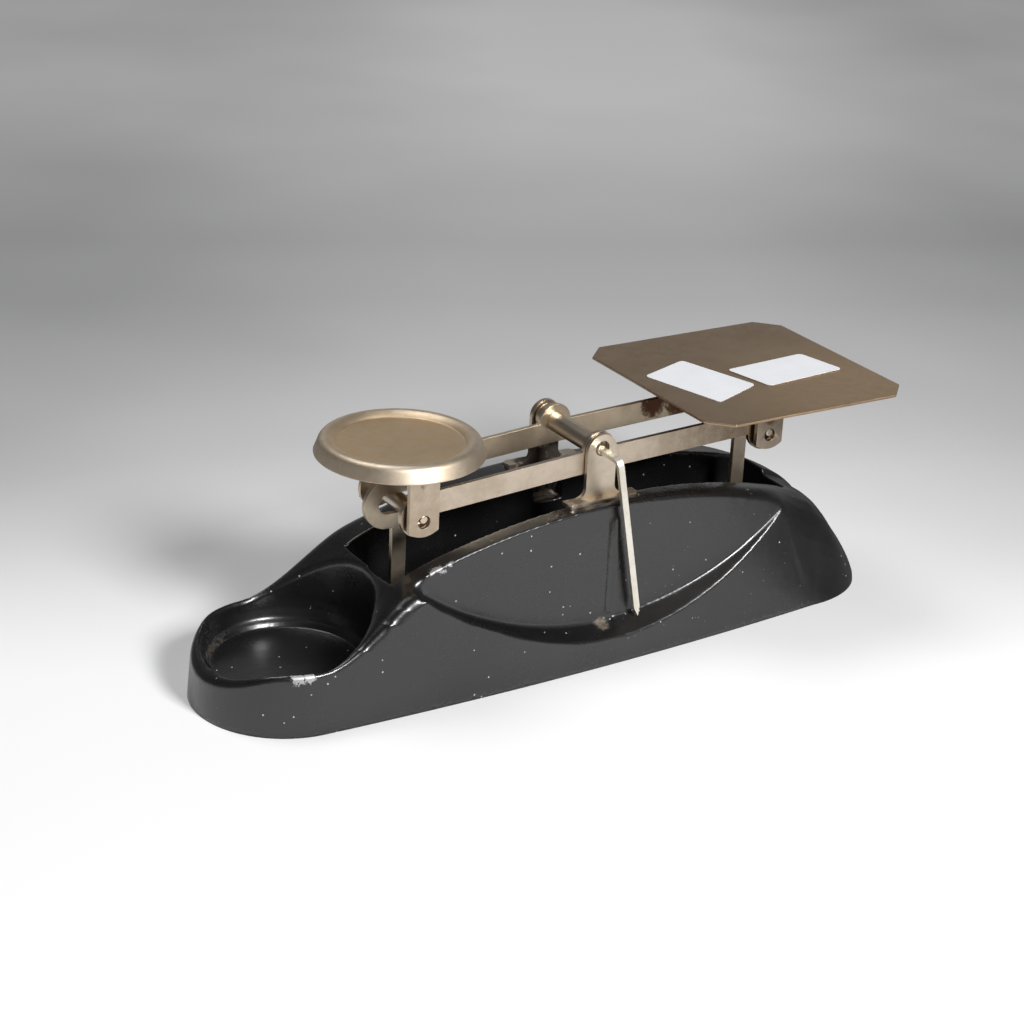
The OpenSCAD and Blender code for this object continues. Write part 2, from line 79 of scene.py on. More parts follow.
TROUGH_LEFT = -73.3
TROUGH_RIGHT = 75.8
TROUGH_HALF_LEFT = 15.4
TROUGH_HALF_RIGHT = 11.6
TROUGH_TAPER_X = -20
SKIRT_T = 4.2
CAVITY_Z = 7
CAVITY_RIGHT = 100
RIB_HALF = 4
WELL_X = -101
WELL_R = 26.3
WELL_FLOOR_R = 23.8
WELL_FLOOR_Z = 10.2
PANEL_Y = 21.7
PANEL_TAPER = 0.013
LEAF_LOW_Z = 11.9
LEAF_LEFT_R = 110
LEAF_RIGHT_R = 106
INDEX_STEP = 1.1
INDEX_X = 3
LIP_LEFT_Z = 9.1
LIP_LEFT_R = 80
LIP_RIGHT_Z = 8.7
LIP_RIGHT_R = 95
LEAF_LEFT_X = -76
LEAF_RIGHT_X = 73
GROOVE_W = 3
GROOVE_D = 0.4
GROOVE_LOW_Z = 14
GROOVE_HIGH_Z = 47
BRACKET_HALF = 5.3
BRACKET_T = 1.5
BRACKET_FRONT_IN = 13.5
BRACKET_REAR_IN = 18.2
TAIL_Z = 39.5
SEAT_Z = 50.9
FOOT_HALF = 13
FOOT_REACH = 4.4
STAY_Z = 22.6
STAY_HEAD_R = 4.2
STAY_SEAT_Y = 26.4
# Where each shoulder sets in along the base, and over what length
BACK_FROM = (-60, 25)
FRONT_FROM = (-10, 20)
TAIL_FROM = (62, 22)
BOW_FROM = (68, 14)
# Where the walls start below the floor, how far past the casting its cutters reach, and how finely it is made
FOOT_Z = -2
BELOW_Z = -4
ABOVE_Z = 70
BESIDE_Y = 40
VOXEL = 0.5
KEPT_FACES = 0.34


# Small sums

def mix(a, b, t):
    return a + (b - a) * t


def clamp(t):
    return min(max(t, 0), 1)


def smooth(t):
    t = clamp(t)
    return t * t * (3 - 2 * t)


def rise(x, start, run):
    return smooth((x - start) / run)


def sag(radius, x):
    return radius - math.sqrt(radius * radius - x * x)


# Form of the base casting

def floor_half(x):
    return BASE_HALF_W - (x - WIDEST_X) ** 2 / SIDE_BOW


def crest(x, side):
    """The long curve of the top, flatter at the right of its back edge; side is 1 there, -1 in front."""
    radius = CREST_BACK_R if side > 0 and x > CREST_X else CREST_R
    return CREST_Z - (x - CREST_X) ** 2 / (2 * radius)


def slope(x):
    t = (x - SLOPE_LOW_X) / (SLOPE_HIGH_X - SLOPE_LOW_X)
    rest = 6 * SLOPE_TURN * (1 - SLOPE_TURN) * max(t - SLOPE_TURN, 0)
    return mix(RIM_Z, SLOPE_TOP_Z, smooth(min(t, SLOPE_TURN)) + rest)


def soft_min(a, b, k):
    return -k * math.log(math.exp(-a / k) + math.exp(-b / k))


def fall(x):
    """The nearly straight fall of the right end, which steepens a little towards its foot."""
    back = FALL_END_X - x
    bent = min(back, FALL_TURN)
    straight = max(back - FALL_TURN, 0) * (FALL_RISE - 2 * FALL_BEND * FALL_TURN)
    return FALL_FOOT_Z + max(bent * (FALL_RISE - FALL_BEND * bent), 0) + straight


def top_z(x, side):
    if x < 0:
        return soft_min(crest(x, side), slope(x), CREST_BLEND)
    return soft_min(crest(x, side), fall(x), FALL_BLEND)


def shoulder_r(x, side):
    if x < SLOPE_HIGH_X:
        return mix(NOSE_SHOULDER, LEFT_SHOULDER, rise(x, NOSE_X, SLOPE_HIGH_X - NOSE_X))
    if side > 0:
        radius = mix(LEFT_SHOULDER, BACK_SHOULDER, rise(x, *BACK_FROM))
    else:
        radius = mix(LEFT_SHOULDER, FRONT_SHOULDER, rise(x, *FRONT_FROM))
    return min(mix(radius, TAIL_SHOULDER, rise(x, *TAIL_FROM)), SHOULDER_MOST * top_z(x, side))


def shoulder_fall(x, side, ny):
    """How far down the shoulder reaches; in front it draws out into a bowed wall at the right end."""
    r = shoulder_r(x, side)
    if side > 0:
        return r
    return mix(r, max(TAIL_BOW * top_z(x, side), r), ny * rise(x, *BOW_FROM))


NOSE_R = floor_half(NOSE_X)
TAIL_W = floor_half(TAIL_X)


def station(t):
    """Place and outward direction on the back half of the outline, t from 0 at the nose to 1 at the tail."""
    nose_share, tail_share = 0.2, 0.2
    if t < nose_share:
        a = math.radians(90 * t / nose_share)
        return NOSE_X - NOSE_R * math.cos(a), NOSE_R * math.sin(a), -math.cos(a), math.sin(a)
    if t > 1 - tail_share:
        a = math.radians(90 * (t - 1 + tail_share) / tail_share)
        n = Vector((math.sin(a) / TAIL_LEN, math.cos(a) / TAIL_W)).normalized()
        return TAIL_X + TAIL_LEN * math.sin(a), TAIL_W * math.cos(a), n.x, n.y
    x = mix(NOSE_X, TAIL_X, (t - nose_share) / (1 - nose_share - tail_share))
    return x, floor_half(x), 0, 1


def skin(t, s, side):
    """A point of the outer skin: s runs up the wall to 1, over the shoulder to 2, to the middle at 3."""
    x0, y0, nx, ny = station(t)
    r = shoulder_r(x0, side)
    tall = shoulder_fall(x0, side, ny)
    wall_z = top_z(x0, side) - tall
    if s < 1:
        z = mix(FOOT_Z, wall_z, s)
        inset = DRAFT * z
        return x0 - nx * inset, y0 - ny * inset, z
    a = math.radians(90 * min(s - 1, 1))
    inset = DRAFT * wall_z + r * (1 - math.cos(a))
    x, y = x0 - nx * inset, y0 - ny * inset
    return x, max(y, 0) * (1 - max(s - 2, 0)), top_z(x, side) - tall * (1 - math.sin(a))


# Mesh helpers

def scaled(bm):
    bmesh.ops.scale(bm, vec=(MM, MM, MM), verts=bm.verts)
    return bm


def face_of(bm, points):
    return bm.faces.new([bm.verts.new(p) for p in points])


def prism(points, direction):
    """A flat outline pushed along a direction into a solid."""
    bm = bmesh.new()
    face = face_of(bm, points)
    made = bmesh.ops.extrude_face_region(bm, geom=[face])
    moved = [g for g in made["geom"] if isinstance(g, bmesh.types.BMVert)]
    bmesh.ops.translate(bm, vec=direction, verts=moved)
    bmesh.ops.recalc_face_normals(bm, faces=bm.faces)
    return bm


def block(low, high):
    (x0, y0, z0), (x1, y1, z1) = low, high
    return prism([(x0, y0, z0), (x1, y0, z0), (x1, y1, z0), (x0, y1, z0)], (0, 0, z1 - z0))


def rod_y(radius, x, z, y0, y1, segments=48):
    bm = bmesh.new()
    bmesh.ops.create_cone(bm, cap_ends=True, segments=segments, radius1=radius, radius2=radius, depth=y1 - y0)
    bmesh.ops.rotate(bm, cent=ORIGIN, matrix=Matrix.Rotation(math.radians(90), 3, "X"), verts=bm.verts)
    bmesh.ops.translate(bm, vec=(x, (y0 + y1) / 2, z), verts=bm.verts)
    return bm


def turned(profile, x, segments=160):
    """A profile of (radius, z) points turned round a vertical axis at x."""
    bm = bmesh.new()
    verts = [bm.verts.new((r, 0, z)) for r, z in profile]
    edges = [bm.edges.new(pair) for pair in zip(verts, verts[1:])]
    bmesh.ops.spin(bm, geom=verts + edges, cent=ORIGIN, axis=(0, 0, 1), angle=math.tau,
                   steps=segments, use_merge=True)
    bmesh.ops.remove_doubles(bm, verts=bm.verts, dist=1e-4)
    bmesh.ops.recalc_face_normals(bm, faces=bm.faces)
    bmesh.ops.translate(bm, vec=(x, 0, 0), verts=bm.verts)
    return bm


def loft(sections):
    """Bridges a row of closed sections and closes the two ends."""
    bm = bmesh.new()
    rings = []
    for points in sections:
        verts = [bm.verts.new(p) for p in points]
        rings.append([bm.edges.new((verts[i - 1], verts[i])) for i in range(len(verts))])
    for near, far in zip(rings, rings[1:]):
        bmesh.ops.bridge_loops(bm, edges=near + far)
    bmesh.ops.holes_fill(bm, edges=rings[0] + rings[-1], sides=0)
    bmesh.ops.recalc_face_normals(bm, faces=bm.faces)
    return bm


def to_object(bm, name):
    mesh = bpy.data.meshes.new(name)
    bm.to_mesh(mesh)
    bm.free()
    made = bpy.data.objects.new(name, mesh)
    bpy.context.scene.collection.objects.link(made)
    return made


def modifier(target, kind, **settings):
    made = target.modifiers.new(kind.lower(), kind)
    for key, value in settings.items():
        setattr(made, key, value)
    return made


def apply_modifiers(target):
    depsgraph = bpy.context.evaluated_depsgraph_get()
    mesh = bpy.data.meshes.new_from_object(target.evaluated_get(depsgraph))
    target.modifiers.clear()
    target.data = mesh


def carve(target, cutters):
    for number, bm in enumerate(cutters):
        cutter = to_object(bm, f"cutter_{number}")
        modifier(target, "BOOLEAN", operation="DIFFERENCE", solver="EXACT", object=cutter)
        apply_modifiers(target)
        bpy.data.objects.remove(cutter)


def reshape(target, *steps):
    """Runs steps of mesh work on an object."""
    bm = bmesh.new()
    bm.from_mesh(target.data)
    for step in steps:
        step(bm)
    bm.to_mesh(target.data)
    bm.free()


def finish_piece(target, body, slot, material, *nodes):
    target.data.materials.clear()
    target.data.materials.append(material)
    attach(target, body)
    if nodes:
        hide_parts(*nodes)
    return target


# Shader tools

class Value:
    """A number socket: arithmetic on it adds Math nodes."""

    def __init__(self, shader, socket):
        self.shader = shader
        self.socket = socket

    def sum_of(self, operation, first, second):
        node = self.shader.node("ShaderNodeMath", {"operation": operation}, {0: first, 1: second})
        return Value(self.shader, node.outputs[0])

    def __add__(self, other):
        return self.sum_of("ADD", self, other)

    def __sub__(self, other):
        return self.sum_of("SUBTRACT", self, other)

    def __rsub__(self, other):
        return self.sum_of("SUBTRACT", other, self)

    def __mul__(self, other):
        return self.sum_of("MULTIPLY", self, other)

    def least(self, other):
        return self.sum_of("MINIMUM", self, other)

    def most(self, other):
        return self.sum_of("MAXIMUM", self, other)

    __radd__ = __add__
    __rmul__ = __mul__


class Shader:
    """The node tree of a material, or of the world."""

    def __init__(self, name, world=None):
        self.owner = world or bpy.data.materials.new(name)
        self.owner.use_nodes = True
        self.tree = self.owner.node_tree
        self.tree.nodes.clear()
        self.output = self.node("ShaderNodeOutputWorld" if world else "ShaderNodeOutputMaterial")
        self.place = self.node("ShaderNodeTexCoord").outputs["Generated" if world else "Object"]

    def node(self, kind, settings=None, inputs=None):
        """Any node: settings first, then values or links for its sockets."""
        made = self.tree.nodes.new(kind)
        for key, value in (settings or {}).items():
            if key == "stops":
                self.set_stops(made.color_ramp, value)
            else:
                setattr(made, key, value)
        for key, value in (inputs or {}).items():
            self.feed(made.inputs[key], value)
        return made

    def set_stops(self, ramp, stops):
        while len(ramp.elements) < len(stops):
            ramp.elements.new(1)
        for element, (position, colour) in zip(ramp.elements, stops):
            element.position = position
            element.color = (*colour, 1)

    def feed(self, socket, value):
        if isinstance(value, Value):
            value = value.socket
        if isinstance(value, bpy.types.NodeSocket):
            self.tree.links.new(value, socket)
        elif socket.type == "RGBA" and len(value) == 3:
            socket.default_value = (*value, 1)
        else:
            socket.default_value = value

    def noise(self, size, detail=3, roughness=0.5, stretch=(1, 1, 1)):
        """Noise whose lumps are about size millimetres across."""
        at = self.node("ShaderNodeMapping", {}, {"Vector": self.place, "Scale": stretch}).outputs[0]
        made = self.node("ShaderNodeTexNoise", {"noise_dimensions": "3D"}, {
            "Vector": at, "Scale": 1 / (size * MM), "Detail": detail, "Roughness": roughness})
        return Value(self, made.outputs["Fac"])

    def cells(self, size):
        """Distance from the nearest of many scattered points, and a random value for each."""
        made = self.node("ShaderNodeTexVoronoi", {"feature": "F1"}, {
            "Vector": self.place, "Scale": 1 / (size * MM), "Randomness": 1.0})
        each = self.node("ShaderNodeSeparateColor", {}, {0: made.outputs["Color"]})
        return Value(self, made.outputs["Distance"]), Value(self, each.outputs[0])

    def ranged(self, value, low, high, first=0, last=1):
        """A straight change from first, at or below low, to last, at or above high."""
        made = self.node("ShaderNodeMapRange", {"clamp": True}, {
            "Value": value, "From Min": low, "From Max": high, "To Min": first, "To Max": last})
        return Value(self, made.outputs["Result"])

    def step(self, value, low, high):
        """0 below low and 1 above high, with a smooth rise."""
        made = self.node("ShaderNodeMapRange", {"interpolation_type": "SMOOTHSTEP", "clamp": True}, {
            "Value": value, "From Min": low, "From Max": high})
        return Value(self, made.outputs["Result"])

    def near(self, centre, radius, full):
        """1 round a place in millimetres, over the full share of the radius, then falling to 0 at it."""
        away = self.node("ShaderNodeVectorMath", {"operation": "DISTANCE"}, {
            0: self.place, 1: tuple(c * MM for c in centre)})
        return 1 - self.step(Value(self, away.outputs["Value"]), radius * full * MM, radius * MM)

    def well_radius(self):
        """Distance in millimetres from the upright axis of the weights well."""
        flat = self.node("ShaderNodeVectorMath", {"operation": "MULTIPLY"}, {0: self.place, 1: (1, 1, 0)})
        away = self.node("ShaderNodeVectorMath", {"operation": "DISTANCE"}, {
            0: flat.outputs[0], 1: (WELL_X * MM, 0, 0)})
        return Value(self, away.outputs["Value"]) * (1 / MM)

    def axis(self, index):
        split = self.node("ShaderNodeSeparateXYZ", {}, {0: self.place})
        return Value(self, split.outputs[index])

    def dot(self, direction):
        made = self.node("ShaderNodeVectorMath", {"operation": "DOT_PRODUCT"}, {0: self.place, 1: direction})
        return Value(self, made.outputs["Value"])

    def colours(self, factor, first, second):
        made = self.node("ShaderNodeMix", {"data_type": "RGBA"}, {"Factor": factor, 6: first, 7: second})
        return made.outputs[2]

    def surface(self, inputs, height, depth_mm):
        """The finished material: a Principled surface with a bump of the given depth."""
        normal = self.node("ShaderNodeBump", {}, {
            "Strength": 1.0, "Distance": depth_mm * MM, "Height": height}).outputs[0]
        made = self.node("ShaderNodeBsdfPrincipled", {}, {**inputs, "Normal": normal})
        self.feed(self.output.inputs["Surface"], made.outputs[0])
        return self.owner


# Finishes

def any_of(masks):
    """The largest of several masks."""
    total = masks[0]
    for mask in masks[1:]:
        total = total.most(mask)
    return total


ENAMEL = ((0.0055, 0.0055, 0.0060), (0.0095, 0.0090, 0.0092))
DUST = (0.50, 0.49, 0.46)
BARE_IRON = (0.40, 0.40, 0.40)
BROWN_DIRT = (0.17, 0.135, 0.095)


def black_paint():
    """Satin black enamel on a cast base, with chips, specks of dust and a little dirt."""
    s = Shader("satin_black_paint")
    lumps = s.noise(4.5, 3, 0.55)
    swell = s.noise(13, 2, 0.5)
    grain = s.noise(0.6, 3, 0.6)
    cloud = s.noise(38, 4, 0.6)
    fine = s.noise(1.3, 4, 0.7)
    colour = s.colours(s.step(cloud, 0.35, 0.7), *ENAMEL)
    # Pale specks of dust and small scratches in the enamel
    distance, chance = s.cells(2.6)
    speck = s.step(chance, 0.86, 0.88) * (1 - s.step(distance, 0.09, 0.13))
    distance_small, chance_small = s.cells(1.3)
    pinprick = s.step(chance_small, 0.86, 0.9) * (1 - s.step(distance_small, 0.1, 0.15))
    pinprick = pinprick * s.step(cloud, 0.5, 0.58)
    colour = s.colours((speck * 0.8 + pinprick * 0.35).least(1), colour, DUST)
    # Chips down to bare metal on the ridges
    chips = any_of([s.near(centre, radius, 0.05) for centre, radius in CHIPS])
    chips = s.step(chips * 0.5 + s.noise(1.7, 5, 0.75), 0.77, 0.81)
    colour = s.colours(chips, colour, BARE_IRON)
    # Brown dirt on the ledge of the well, at the index step and by the front bracket's foot
    on_ledge = s.step(s.well_radius(), WELL_FLOOR_R - 1.4, WELL_FLOOR_R - 0.6)
    on_ledge = on_ledge * (1 - s.step(s.well_radius(), WELL_FLOOR_R + 0.5, WELL_FLOOR_R + 1.8))
    on_ledge = on_ledge * s.near((-117, 13, 12), 17, 0.3) * 0.5
    spots = [s.near(centre, radius, 0.2) * strength for centre, radius, strength in DIRT]
    dirt = any_of(spots + [on_ledge])
    dirt = s.step(dirt * 0.65 + fine * 0.6, 0.56, 0.8)
    colour = s.colours(dirt * 0.8, colour, BROWN_DIRT)
    roughness = 0.285 + (cloud - 0.5) * 0.2 + (fine - 0.5) * 0.06 + dirt * 0.45 + chips * 0.15
    height = lumps * 0.5 + swell * 1.6 + grain * 0.06 - chips * 0.5 + dirt * 0.25
    return s.surface({"Base Color": colour, "Roughness": roughness, "IOR": 1.68, "Metallic": chips * 0.5},
                     height, 0.14)


BROWN_SPOT = (0.13, 0.085, 0.05)


def worn_metal(name, bright, dull, rough, wear=0.5, stains_and_shade=(), shade=None):
    """Tarnished nickel: cloudy tone, fine scratches, brown spots, and patches of rust, tarnish, stains and
    painted shade at given places.

    shade is a broad change of tone round a place: its centre, radius, colour, strength and the share of the
    radius that is full.
    """
    s = Shader(name)
    cloud = s.noise(14, 4, 0.6)
    blotch = s.noise(3.0, 4, 0.65)
    scratch = s.noise(0.35, 2, 0.6, (0.06, 1, 1))
    fine = s.noise(0.4, 3, 0.7)
    tone = s.step(cloud * 0.6 + blotch * 0.4, 0.5 - 0.18 * wear, 0.5 + 0.22 * wear)
    colour = s.colours(tone, bright, dull)
    if shade:
        centre, radius, broad_tone, strength, full = shade
        around = s.near(centre, radius, full)
        colour = s.colours(around * (strength + (blotch - 0.5) * 1.2), colour, broad_tone)
    spots = s.step(s.noise(1.6, 3, 0.7), 0.66, 0.74) * 0.6
    colour = s.colours(spots * wear, colour, BROWN_SPOT)
    roughness = rough + (cloud - 0.5) * 0.2 + (scratch - 0.5) * 0.1 + spots * 0.15 * wear
    metallic = 1 - spots * 0.3 * wear
    height = fine * 0.06 + scratch * 0.05 + blotch * 0.1
    # Patches at given places: rust, tarnish and stains, and on the rear bracket painted shade
    for centre, radius, patch_colour in stains_and_shade:
        patch = s.step(s.near(centre, radius, 0.1) * 0.55 + s.noise(2.2, 4, 0.7) * 0.7, 0.55, 0.8)
        colour = s.colours(patch, colour, patch_colour)
        roughness = roughness + patch * 0.35
        metallic = metallic - patch * 0.75
        height = height + patch * fine * 0.5
    return s.surface({"Base Color": colour, "Roughness": roughness.most(0.05).least(1),
                      "Metallic": metallic.most(0).least(1)}, height, 0.12)


def paper():
    """Blank white label paper, a little soft and uneven."""
    s = Shader("label_paper")
    fibre = s.noise(0.25, 3, 0.6)
    soft = s.noise(9, 2, 0.5)
    colour = s.colours(soft, (0.74, 0.75, 0.79), (0.83, 0.84, 0.86))
    return s.surface({"Base Color": colour, "Roughness": 0.55 + (fibre - 0.5) * 0.2}, fibre, 0.02)


# Places in millimetres, with radii: worn spots of the enamel, and where dirt gathers with its strength
CHIPS = [((-62.5, -21.6, 43.6), 5.6), ((-58.5, -22.2, 44.6), 5), ((-60, -23.2, 41.6), 4),
         ((55.9, -20.5, 47), 4.4), ((-110.6, -27.4, 19), 5), ((-107.2, -28.0, 19.3), 4.2)]
DIRT = [((-1.6, -22.9, 11.7), 5, 0.72), ((-9, -15, 51.5), 4.5, 0.7)]
RUST = (0.17, 0.075, 0.035)
# Colour of the painted shade on the lower part of the rear bracket
PAINTED_SHADE = (0.035, 0.026, 0.019)
TARNISH = (0.11, 0.07, 0.045)

PAINT = black_paint()
NICKEL = worn_metal("nickel", (0.58, 0.49, 0.395), (0.49, 0.405, 0.31), 0.32)
# The front bar turns darker and browner towards its right end: painted shade from the plate above, with some
# tarnish.
BAR_FRONT_METAL = worn_metal("nickel_bar", (0.57, 0.48, 0.385), (0.48, 0.40, 0.305), 0.32, 0.5,
                             shade=((62, -12, 66), 62, (0.27, 0.205, 0.145), 0.9, 0.1))
# The right ear is darker round its middle: painted shade under the plate; the brown at the pins is tarnish.
EAR_METAL = worn_metal("nickel_ears", (0.52, 0.43, 0.335), (0.42, 0.34, 0.25), 0.34, 0.6,
                       [((64, -17.5, 67.5), 4.6, TARNISH), ((-64, -17.5, 67.5), 3.2, TARNISH)],
                       shade=((67, -17, 72), 13, (0.2, 0.155, 0.11), 0.9, 0.1))
# A brown stain by the front bracket's foot, and painted shade on the lower part of the rear bracket.
BRACKET_METAL = worn_metal("nickel_stained_and_shaded", (0.62, 0.54, 0.435), (0.52, 0.44, 0.345), 0.33, 0.7,
                           [((-9, -16, 51), 6, (0.15, 0.11, 0.075)), ((-4, 19, 52), 13, PAINTED_SHADE),
                            ((4, 19, 56), 10, PAINTED_SHADE)])
BAR_REAR_METAL = worn_metal("nickel_darkened", (0.74, 0.61, 0.45), (0.60, 0.49, 0.35), 0.4, 0.8,
                            [((38, 12.6, 67), 9, RUST), ((48, 12.6, 66), 10, RUST)])
ROD_METAL = worn_metal("nickel_rods", (0.68, 0.59, 0.48), (0.53, 0.45, 0.355), 0.32, 0.8)
STEM_METAL = worn_metal("nickel_stems", (0.62, 0.53, 0.41), (0.46, 0.385, 0.29), 0.44, 0.8)
POINTER_METAL = worn_metal("nickel_pointer", (0.88, 0.84, 0.75), (0.78, 0.73, 0.63), 0.46, 0.4)
PAN_METAL = worn_metal("pan_nickel", (0.70, 0.595, 0.47), (0.60, 0.495, 0.365), 0.5, 0.6,
                       shade=((-64, 0, 76), 23.5, (0.69, 0.50, 0.295), 0.72, 0.78))
# The plate is coloured lighter towards its front right corner.
PLATE_METAL = worn_metal("plate_nickel", (0.44, 0.32, 0.21), (0.37, 0.265, 0.165), 0.4, 0.8,
                         shade=((92, -34, 79), 74, (0.68, 0.48, 0.29), 0.9, 0.1))
STEEL = worn_metal("dull_steel", (0.36, 0.34, 0.31), (0.24, 0.22, 0.2), 0.42, 0.8)
PAPER = paper()


# Base casting

def outer_skin():
    """A grid laid over the base: along it from nose to tail, across it from front foot to back foot."""
    along, across = 260, 48
    bm = bmesh.new()
    bmesh.ops.create_grid(bm, x_segments=along, y_segments=across, size=1)
    for vert in bm.verts:
        t = (vert.co.x + 1) / 2
        x, y, z = skin(t, 3 * (1 - abs(vert.co.y)), 1 if vert.co.y > 0 else -1)
        vert.co = (x, math.copysign(y, vert.co.y), z)
    bmesh.ops.remove_doubles(bm, verts=bm.verts, dist=1e-3)
    rim = [e for e in bm.edges if e.is_boundary]
    bmesh.ops.holes_fill(bm, edges=rim, sides=0)
    bmesh.ops.recalc_face_normals(bm, faces=bm.faces)
    return bm


def leaf_half(start, end, right):
    """Half of the leaf-shaped recess in front, whose lower edge curves up towards its end."""
    steps = 60
    top = 60
    sections = []
    for i in range(steps + 1):
        x = mix(start, end, i / steps)
        if right:
            low = LEAF_LOW_Z + INDEX_STEP + sag(LEAF_RIGHT_R, x)
            edge = LIP_RIGHT_Z + sag(LIP_RIGHT_R, x)
        else:
            low = LEAF_LOW_Z + sag(LEAF_LEFT_R, x)
            edge = LIP_LEFT_Z + x * x / (2 * LIP_LEFT_R)
        edge = min(edge, low)
        inner_y = PANEL_Y - PANEL_TAPER * max(x, 0)
        wall_y = floor_half(x) - DRAFT * edge
        far_z = low + (edge - low) * (BESIDE_Y - inner_y) / (wall_y - inner_y)
        sections.append([(x, -inner_y, low), (x, -inner_y, top), (x, -BESIDE_Y, top), (x, -BESIDE_Y, far_z)])
    return loft(sections)


def trough():
    left, right = TROUGH_HALF_LEFT, TROUGH_HALF_RIGHT
    outline = [(TROUGH_LEFT, -left), (TROUGH_TAPER_X, -left), (TROUGH_RIGHT, -right),
               (TROUGH_RIGHT, right), (TROUGH_TAPER_X, left), (TROUGH_LEFT, left)]
    return prism([(x, y, BELOW_Z) for x, y in outline], (0, 0, ABOVE_Z - BELOW_Z))


def well():
    """The round well: a floor, a small step, a narrow ledge and the upright wall."""
    return turned([(0, WELL_FLOOR_Z), (WELL_FLOOR_R - 0.6, WELL_FLOOR_Z), (WELL_FLOOR_R, WELL_FLOOR_Z + 1.4),
                   (WELL_FLOOR_R + 1.3, WELL_FLOOR_Z + 2.6), (WELL_R - 0.3, RIM_Z - 3.6), (WELL_R, RIM_Z - 1),
                   (WELL_R, ABOVE_Z), (0, ABOVE_Z)], WELL_X)


def underside():
    """The two hollows of the underside, with the cross rib left between them."""
    steps = 60
    back = []
    for i in range(steps + 1):
        x, y, nx, ny = station(i / steps)
        back.append((x - nx * SKIRT_T, max(y - ny * SKIRT_T, 0)))
    hollows = []
    for low, high in ((-200, -RIB_HALF), (RIB_HALF, CAVITY_RIGHT)):
        half = [(x, y) for x, y in back if low < x < high]
        outline = half + [(x, -y) for x, y in reversed(half) if y > 0]
        hollows.append(prism([(x, y, BELOW_Z) for x, y in outline], (0, 0, CAVITY_Z - BELOW_Z)))
    return hollows


def bracket_cuts(side, inner):
    """Room for a bracket's tail and for its flared foot, cut outwards from the trough."""
    def from_trough(half_x, out_y, low_z):
        near_y, top = 10, 60
        low_y, high_y = sorted((side * near_y, side * out_y))
        return block((-half_x, low_y, low_z), (half_x, high_y, top))
    return [from_trough(BRACKET_HALF + 0.1, inner + BRACKET_T, TAIL_Z - 0.1),
            from_trough(FOOT_HALF + 0.2, inner + FOOT_REACH + 0.2, SEAT_Z)]


def cut_level(bm):
    """Cuts the casting off where it stands and closes the cut."""
    bmesh.ops.bisect_plane(bm, geom=bm.verts[:] + bm.edges[:] + bm.faces[:], dist=1e-7, plane_co=ORIGIN,
                           plane_no=(0, 0, 1), clear_inner=True)
    bmesh.ops.triangle_fill(bm, edges=[e for e in bm.edges if e.is_boundary], use_beauty=True)
    bmesh.ops.recalc_face_normals(bm, faces=bm.faces)


# How the rim of the well is rounded, band by narrower band: reach and smoothing passes
RIM_BANDS = ((4.5, 12), (3.2, 14), (2.0, 16))
# Where the ridge between the well and the front is worn round: centre, reach and smoothing passes
RIDGE_SPOTS = [((-86, -24, 28), 6.5, 40), ((-77, -22.5, 35), 7.5, 60), ((-72.5, -22.5, 38.5), 7, 40)]


def soften_well_rim(bm):
    """Rounds the rim of the well, most where the wall meets the front shoulder."""
    for reach, passes in RIM_BANDS:
        band = []
        for vert in bm.verts:
            x, y, z = vert.co / MM
            if z > RIM_Z - 2 * reach and x < SLOPE_HIGH_X:
                share = mix(0.15, 1, rise(x, WELL_X - 8, 26)) if y < 0 else 0.22
                away = abs(math.hypot(x - WELL_X, y) - WELL_R)
                if away < reach * share and z > top_z(x, -1) - 2 * reach * share:
                    band.append(vert)
        smooth_band(bm, band, passes)
    for centre, reach, passes in RIDGE_SPOTS:
        centre = Vector(centre) * MM
        smooth_band(bm, [v for v in bm.verts if (v.co - centre).length < reach * MM], passes)


def smooth_band(bm, band, passes):
    for _ in range(passes):
        bmesh.ops.smooth_vert(bm, verts=band, factor=0.5, use_axis_x=True, use_axis_y=True, use_axis_z=True)


def base_casting():
    target = to_object(outer_skin(), "base_casting_painted")
    groove = block((0, -PANEL_Y - 1, GROOVE_LOW_Z), (GROOVE_W, -PANEL_Y + GROOVE_D, GROOVE_HIGH_Z))
    cutters = [trough(), well(), leaf_half(LEAF_LEFT_X, INDEX_X, False),
               leaf_half(INDEX_X, LEAF_RIGHT_X, True), groove,
               rod_y(STAY_HEAD_R, 0, STAY_Z, STAY_SEAT_Y, BESIDE_Y)]
    cutters += underside() + bracket_cuts(1, BRACKET_REAR_IN) + bracket_cuts(-1, BRACKET_FRONT_IN)
    carve(target, cutters)
    reshape(target, scaled)
    modifier(target, "REMESH", mode="VOXEL", voxel_size=VOXEL * MM)
    modifier(target, "SMOOTH", factor=0.5, iterations=4)
    apply_modifiers(target)
    reshape(target, soften_well_rim, cut_level)
    modifier(target, "DECIMATE", ratio=KEPT_FACES)
    apply_modifiers(target)
    target.data.polygons.foreach_set("use_smooth", [True] * len(target.data.polygons))
    return finish_piece(target, "base", "black_paint", PAINT, "base_casting")


# Pieces taken over from the CAD with rounded edges

def eased(node, body, slot, material, width=0.2, segments=2):
    """A copy of a CAD node with its sharp edges rounded."""
    bm = bmesh.new()
    bm.from_mesh(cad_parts[node].data)
    bmesh.ops.remove_doubles(bm, verts=bm.verts, dist=1e-6)
    bmesh.ops.dissolve_limit(bm, angle_limit=math.radians(1), verts=bm.verts, edges=bm.edges)
    sharp = [e for e in bm.edges if len(e.link_faces) == 2 and e.calc_face_angle() > math.radians(30)]
    bmesh.ops.bevel(bm, geom=sharp, offset=width * MM, offset_type="OFFSET", segments=segments, profile=0.5,
                    affect="EDGES", material=-1, clamp_overlap=True)
    bmesh.ops.triangulate(bm, faces=[f for f in bm.faces if len(f.verts) > 4])
    for face in bm.faces:
        face.smooth = True
    target = to_object(bm, node + "_finished")
    target.data.set_sharp_from_angle(angle=math.radians(50))
    modifier(target, "WEIGHTED_NORMAL", keep_sharp=True, weight=80)
    return finish_piece(target, body, slot, material, node)


